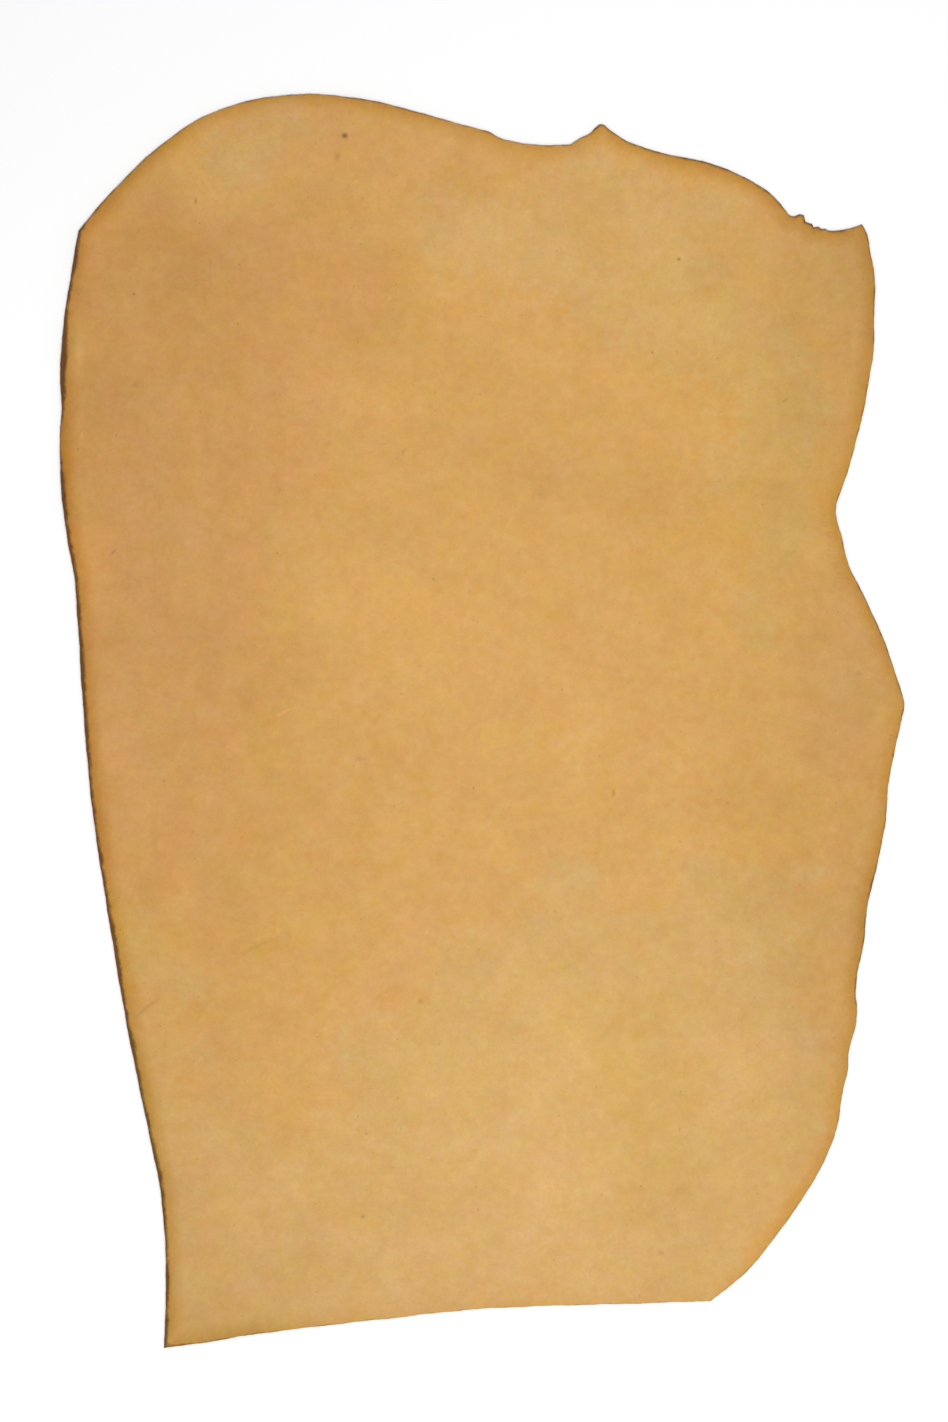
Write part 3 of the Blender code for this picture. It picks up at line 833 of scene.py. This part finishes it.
def layout(outline):
    """The mesh points as seen from above, with the border's own first, and the triangles between them."""
    border = outline + inward_of(outline) * EDGE_ROUNDING
    gap = RIM_RINGS[0][0]
    detail = detail_points()
    detail = detail[in_chunks(inside, detail, border)]
    detail = detail[in_chunks(distance_to_edge, detail, border) > gap]
    rings = rim_points(outline)
    rings = rings[in_chunks(nearest, rings, detail) > gap / 2]
    flat = np.vstack((border, rings, detail, field_points(outline, detail)))
    return flat, triangles_inside(flat, border)


def cut_steps(top, normals, outline):
    """The loops of points down the rounded cut edge, square to the leather."""
    outward = np.column_stack((-inward_of(outline), np.zeros(len(outline))))
    outward -= normals * (outward * normals).sum(1)[:, None]
    outward /= np.linalg.norm(outward, axis=1)[:, None]
    return [top + outward * out * EDGE_ROUNDING - normals * deep * THICKNESS for out, deep in CUT_PROFILE]


def faces_of(triangles, count, ring):
    """The closed sheet's faces and their slots. It has count points a side, and ring along the edge."""
    loops = [np.arange(ring)]
    loops += [2 * count + ring * i + np.arange(ring) for i in range(len(CUT_PROFILE))]
    loops.append(count + np.arange(ring))
    quads = [
        np.column_stack((upper, np.roll(upper, -1), np.roll(lower, -1), lower))
        for upper, lower in zip(loops, loops[1:])
    ]
    faces = [*triangles.tolist(), *(triangles[:, ::-1] + count).tolist(), *np.vstack(quads).tolist()]
    lengths = (len(triangles), len(triangles), ring, ring * (len(quads) - 1))
    slots = np.repeat((GRAIN_SLOT, FLESH_SLOT, GRAIN_SLOT, CUT_SLOT), lengths)
    return faces, slots.astype(np.int32)


def paint(mesh, name, grain, flesh, edge):
    """A number at each point, for the materials to read. Each loop of the cut edge gets the same ones."""
    values = np.concatenate((grain, flesh, np.tile(edge, len(CUT_PROFILE))))
    mesh.attributes.new(name, "FLOAT", "POINT").data.foreach_set("value", values.astype(np.float32))


def paint_tint(mesh, tint, ring):
    """The leather's colour at each point of the grain and the cut edge. The flesh side keeps its own."""
    factors = np.vstack((tint, np.ones(tint.shape), np.tile(tint[:ring], (len(CUT_PROFILE), 1))))
    colours = np.column_stack((factors, np.ones(len(factors))))
    mesh.attributes.new("tint", "FLOAT_COLOR", "POINT").data.foreach_set("color", colours.ravel())


def make_hide():
    """The hide as one closed sheet: grain face, flesh face, and a rounded cut edge between them."""
    true_outline, rims = cut_outline(EDGE_STEP)
    outline = wavering(true_outline)
    flat, triangles = layout(outline)
    flat_mm = flat / MM
    ring = len(outline)

    distance = in_chunks(distance_to_edge, flat, true_outline)
    lift, browned, burnt = in_chunks(rim_near, flat, true_outline, rims).T
    burnt = np.maximum(burnt + more_edge_dark_and_shade(flat_mm), 0)
    grain = np.column_stack((flat, grain_height(flat_mm, distance, lift)))
    normals = normals_of(grain, triangles)
    flesh = grain - normals * THICKNESS
    places = np.vstack((grain, flesh, *cut_steps(grain[:ring], normals[:ring], outline)))
    places[:, 2] = np.maximum(places[:, 2], 0)

    faces, slots = faces_of(triangles, len(flat), ring)
    mesh = bpy.data.meshes.new("leather_side")
    mesh.from_pydata(places.tolist(), [], faces)
    mesh.shade_smooth()
    mesh.polygons.foreach_set("material_index", slots)

    none = np.zeros(len(flat))
    paint(mesh, "edge_distance", distance / MM, distance / MM, none[:ring])
    paint(mesh, "browned", browned, browned, browned[:ring])
    paint(mesh, "burnt", burnt, burnt, burnt[:ring])
    paint(mesh, "dark_mark", darkness_of(flat_mm), none, none[:ring])
    for hue in ("ruddy", "olive"):
        depth = in_chunks(depth_in_ground, flat_mm, hue)
        paint(mesh, hue, depth, depth, depth[:ring])
    paint_tint(mesh, tint_of(flat_mm), ring)
    mesh.update()
    return add_object("leather_side", mesh)


def add_object(name, data):
    """An object with this data, in the scene."""
    thing = bpy.data.objects.new(name, data)
    bpy.context.scene.collection.objects.link(thing)
    return thing


class Nodes:
    """A material's nodes, with short ways to add and join the kinds that the materials use."""

    def __init__(self, name):
        self.material = bpy.data.materials.new(name)
        self.material.use_nodes = True
        self.tree = self.material.node_tree
        self.shader = self.tree.nodes["Principled BSDF"]
        self.place = self.tree.nodes.new("ShaderNodeTexCoord").outputs["Object"]

    def add(self, kind, inputs=(), **settings):
        node = self.tree.nodes.new(kind)
        for key, value in settings.items():
            setattr(node, key, value)
        for key, value in dict(inputs).items():
            if isinstance(value, bpy.types.NodeSocket):
                self.tree.links.new(value, node.inputs[key])
            else:
                node.inputs[key].default_value = value
        return node

    def attribute(self, name, output="Fac"):
        return self.add("ShaderNodeAttribute", attribute_name=name).outputs[output]

    def scale(self, colour, factor):
        """A colour, a socket or three numbers, times a number."""
        return self.add("ShaderNodeVectorMath", {0: colour, "Scale": factor}, operation="SCALE").outputs[0]

    def times(self, colour, other):
        """One colour times another."""
        return self.mix(1.0, colour, other, "MULTIPLY")

    def toned(self, colour, share, swing):
        """A colour made darker and ruddier at a share of 0, and lighter and paler at 1, by up to swing."""
        dark, light = ([1 + side * swing * follow for follow in TONE_HUE] for side in (-1, 1))
        return self.times(colour, self.mix(share, dark, light))

    def noise(self, lumps):
        squeezed = self.add("ShaderNodeMapping", {"Vector": self.place, "Scale": lumps.squeeze}).outputs[0]
        values = {"Scale": 1 / lumps.size, "Detail": lumps.detail, "Roughness": lumps.roughness}
        return self.add("ShaderNodeTexNoise", {"Vector": squeezed, **values}).outputs["Fac"]

    def spread(self, lumps, low=0.0, high=1.0, run=NOISE_RUN):
        """A noise, with its values within run spread over low to high."""
        return self.remap(self.noise(lumps), *run, low, high)

    def specks(self):
        """1, and less in sparse round specks of random darkness."""
        values = {"Vector": self.place, "Scale": 1 / SPECK_SPACING, "Randomness": 1.0}
        cells = self.add("ShaderNodeTexVoronoi", values, voronoi_dimensions="2D")
        rim = SPECK_RADIUS / SPECK_SPACING
        spot = self.remap(cells.outputs["Distance"], rim, SPECK_CORE * rim)
        chance = self.add("ShaderNodeSeparateColor", {"Color": cells.outputs["Color"]}).outputs["Red"]
        depth = self.remap(chance, SPECK_NONE, 1.0, 0.0, 1.0 - SPECK_DARKEST)
        return self.maths("SUBTRACT", 1.0, self.maths("MULTIPLY", spot, depth))

    def remap(self, value, from_low, from_high, to_low=0.0, to_high=1.0):
        values = {"Value": value, 1: from_low, 2: from_high, 3: to_low, 4: to_high}
        return self.add("ShaderNodeMapRange", values).outputs[0]

    def maths(self, operation, first, second):
        return self.add("ShaderNodeMath", {0: first, 1: second}, operation=operation).outputs[0]

    def mix(self, factor, first, second, blend="MIX"):
        """A mix of two colours, each a socket or three numbers."""
        first, second = (
            colour if isinstance(colour, bpy.types.NodeSocket) else (*colour, 1.0)
            for colour in (first, second)
        )
        inputs = {0: factor, 6: first, 7: second}
        return self.add("ShaderNodeMix", inputs, data_type="RGBA", blend_type=blend).outputs[2]

    def bump(self, height, distance, strength, under=None):
        inputs = {"Height": height, "Distance": distance, "Strength": strength}
        if under is not None:
            inputs["Normal"] = under
        return self.add("ShaderNodeBump", inputs).outputs["Normal"]

    def join(self, value, name):
        self.tree.links.new(value, self.shader.inputs[name])

    def put(self, values):
        """Numbers that are the same all over, set on the shader's own sockets."""
        for name, value in values.items():
            self.shader.inputs[name].default_value = value


def grain_material():
    """The grain face: smooth tan leather, faintly mottled, browned along the edge and painted with shade at
    the cut.
    """
    nodes = Nodes("leather_grain")
    bays = nodes.spread(BORDER_BAYS, -BAY_DEPTH, BAY_DEPTH)
    wander = nodes.maths("ADD", bays, nodes.spread(BORDER_FRAY, -FRAY_DEPTH, FRAY_DEPTH))
    colour = GRAIN_AMBER
    share = {}
    for hue, ground_colour in (("ruddy", GRAIN_RUDDY), ("olive", GRAIN_OLIVE)):
        depth = nodes.maths("ADD", nodes.attribute(hue), wander)
        share[hue] = nodes.remap(depth, -BORDER_SOFTNESS, BORDER_SOFTNESS)
        colour = nodes.mix(share[hue], colour, ground_colour)

    cast = nodes.spread(CAST_LUMPS, run=CAST_RUN)
    colour = nodes.times(colour, nodes.mix(cast, PALE_CAST, YELLOW_CAST))
    flush = nodes.spread(FLUSH_LUMPS, run=FLUSH_RUN)
    colour = nodes.times(colour, nodes.mix(flush, RED_CAST, GREEN_CAST))
    # The tint holds painted shade and light from the patches and creases as well as the leather's own tones
    colour = nodes.times(colour, nodes.attribute("tint", "Color"))
    streak = nodes.spread(STREAKS, -STREAK_SHARE, STREAK_SHARE)
    streak = nodes.maths("MULTIPLY", share["ruddy"], streak)
    cloud = nodes.maths("ADD", nodes.spread(CLOUDS), streak)
    colour = nodes.toned(colour, cloud, CLOUD_SWING)
    colour = nodes.toned(colour, nodes.spread(FLECKS), FLECK_SWING)
    colour = nodes.scale(colour, nodes.specks())

    ragged = nodes.spread(EDGE_FRAY, -EDGE_FRAY_DEPTH, EDGE_FRAY_DEPTH)
    edge = nodes.maths("ADD", nodes.attribute("edge_distance"), ragged)
    glow = nodes.remap(edge, *GLOW_RUN, GLOW_STRENGTH, 0.0)
    glow = nodes.maths("MULTIPLY", glow, nodes.attribute("browned"))
    colour = nodes.times(colour, nodes.mix(glow, UNCHANGED, EDGE_GLOW))
    # Painted shade of the rim turning down, with some of the edge's own darker brown, on its outermost few
    # mm
    edge_dark_and_shade_share = nodes.maths("MULTIPLY", nodes.attribute("burnt"), DARK_AND_SHADE_REACH)
    edge_dark_and_shade_share = nodes.remap(nodes.maths("SUBTRACT", edge_dark_and_shade_share, edge), 0.0, DARK_AND_SHADE_SOFTNESS)
    colour = nodes.times(colour, nodes.mix(edge_dark_and_shade_share, UNCHANGED, EDGE_DARK_AND_SHADE))
    nodes.join(nodes.mix(nodes.attribute("dark_mark"), colour, MARK_BROWN), "Base Color")

    nodes.join(nodes.spread(SHINE_LUMPS, *GRAIN_ROUGHNESS), "Roughness")
    nodes.put({"Specular IOR Level": 0.25})
    cells = {"Vector": nodes.place, "Scale": PORES_PER_METRE, "Randomness": 1.0}
    pores = nodes.bump(nodes.add("ShaderNodeTexVoronoi", cells).outputs["Distance"], *PORE_BUMP)
    nodes.join(nodes.bump(nodes.noise(PEBBLES), *PEBBLE_BUMP, pores), "Normal")
    return nodes.material


def cut_material():
    """The cut edge: browned fibres in thin layers."""
    nodes = Nodes("leather_cut")
    layers = nodes.noise(CUT_LAYERS)
    share = nodes.remap(layers, *CUT_RUN)
    nodes.join(nodes.mix(share, CUT_DARK, CUT_LIGHT), "Base Color")
    nodes.put({"Roughness": 0.85, "Specular IOR Level": 0.2})
    nodes.join(nodes.bump(layers, *CUT_BUMP), "Normal")
    return nodes.material


def flesh_material():
    """The flesh side: pale, napped and without shine."""
    nodes = Nodes("leather_flesh")
    cloud = nodes.spread(FLESH_CLOUDS)
    nap = nodes.noise(NAP)
    shade = nodes.remap(nap, *NOISE_RUN, *NAP_SHADE)
    nodes.join(nodes.scale(nodes.mix(cloud, FLESH_DARK, FLESH_LIGHT), shade), "Base Color")
    nodes.put({"Roughness": 0.95, "Specular IOR Level": 0.15, "Sheen Weight": 0.3, "Sheen Roughness": 0.6})
    nodes.join(nodes.bump(nap, *NAP_BUMP), "Normal")
    return nodes.material


def floor_material():
    nodes = Nodes("floor")
    nodes.join(nodes.scale(FLOOR_COLOUR, nodes.spread(FLOOR_LUMPS, *FLOOR_SHADE)), "Base Color")
    nodes.put({"Roughness": 0.9, "Specular IOR Level": 0.1})
    return nodes.material


# The stage and its light
FLOOR_SIZE = 60.0
FLOOR_DROP = 0.0002
KEY_PLACE = (0.30, -0.30, 2.6)
KEY_AIM = (0.05, 0.0, 0.0)
KEY_SIZE = 1.7
KEY_WATTS = 42.0
SKY_STRENGTH = 0.62

# The camera looks straight down from far off
LENS_MM = 100.0
SENSOR_MM = 36.0
VIEW_HEIGHT_MM = 1420.6
AIM_X_MM, AIM_Y_MM = -8.0, 10.0


def make_floor():
    mesh = bpy.data.meshes.new("floor")
    half = FLOOR_SIZE / 2
    corners = [(x, y, -FLOOR_DROP) for x, y in ((-half, -half), (half, -half), (half, half), (-half, half))]
    mesh.from_pydata(corners, [], [(0, 1, 2, 3)])
    floor = add_object("floor", mesh)
    mesh.materials.append(floor_material())


def make_lights():
    key_data = bpy.data.lights.new("key", "AREA")
    key_data.shape = "DISK"
    key_data.size = KEY_SIZE
    key_data.energy = KEY_WATTS
    key = add_object("key", key_data)
    key.location = KEY_PLACE
    key.rotation_euler = (Vector(KEY_PLACE) - Vector(KEY_AIM)).to_track_quat("Z", "Y").to_euler()
    key.visible_camera = False

    world = bpy.data.worlds.new("studio")
    world.use_nodes = True
    sky = world.node_tree.nodes["Background"]
    sky.inputs["Color"].default_value = (1.0, 1.0, 1.0, 1.0)
    sky.inputs["Strength"].default_value = SKY_STRENGTH
    bpy.context.scene.world = world


def make_camera():
    data = bpy.data.cameras.new("camera")
    data.lens = LENS_MM
    data.sensor_width = SENSOR_MM
    camera = add_object("camera", data)
    distance = VIEW_HEIGHT_MM * MM * LENS_MM / SENSOR_MM
    camera.location = (AIM_X_MM * MM, AIM_Y_MM * MM, distance + THICKNESS)
    bpy.context.scene.camera = camera


make_camera()
hide = make_hide()
for material in (grain_material(), cut_material(), flesh_material()):
    hide.data.materials.append(material)
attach(hide, "root")
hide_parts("hide")
make_floor()
make_lights()
bpy.context.scene.view_settings.view_transform = "Standard"
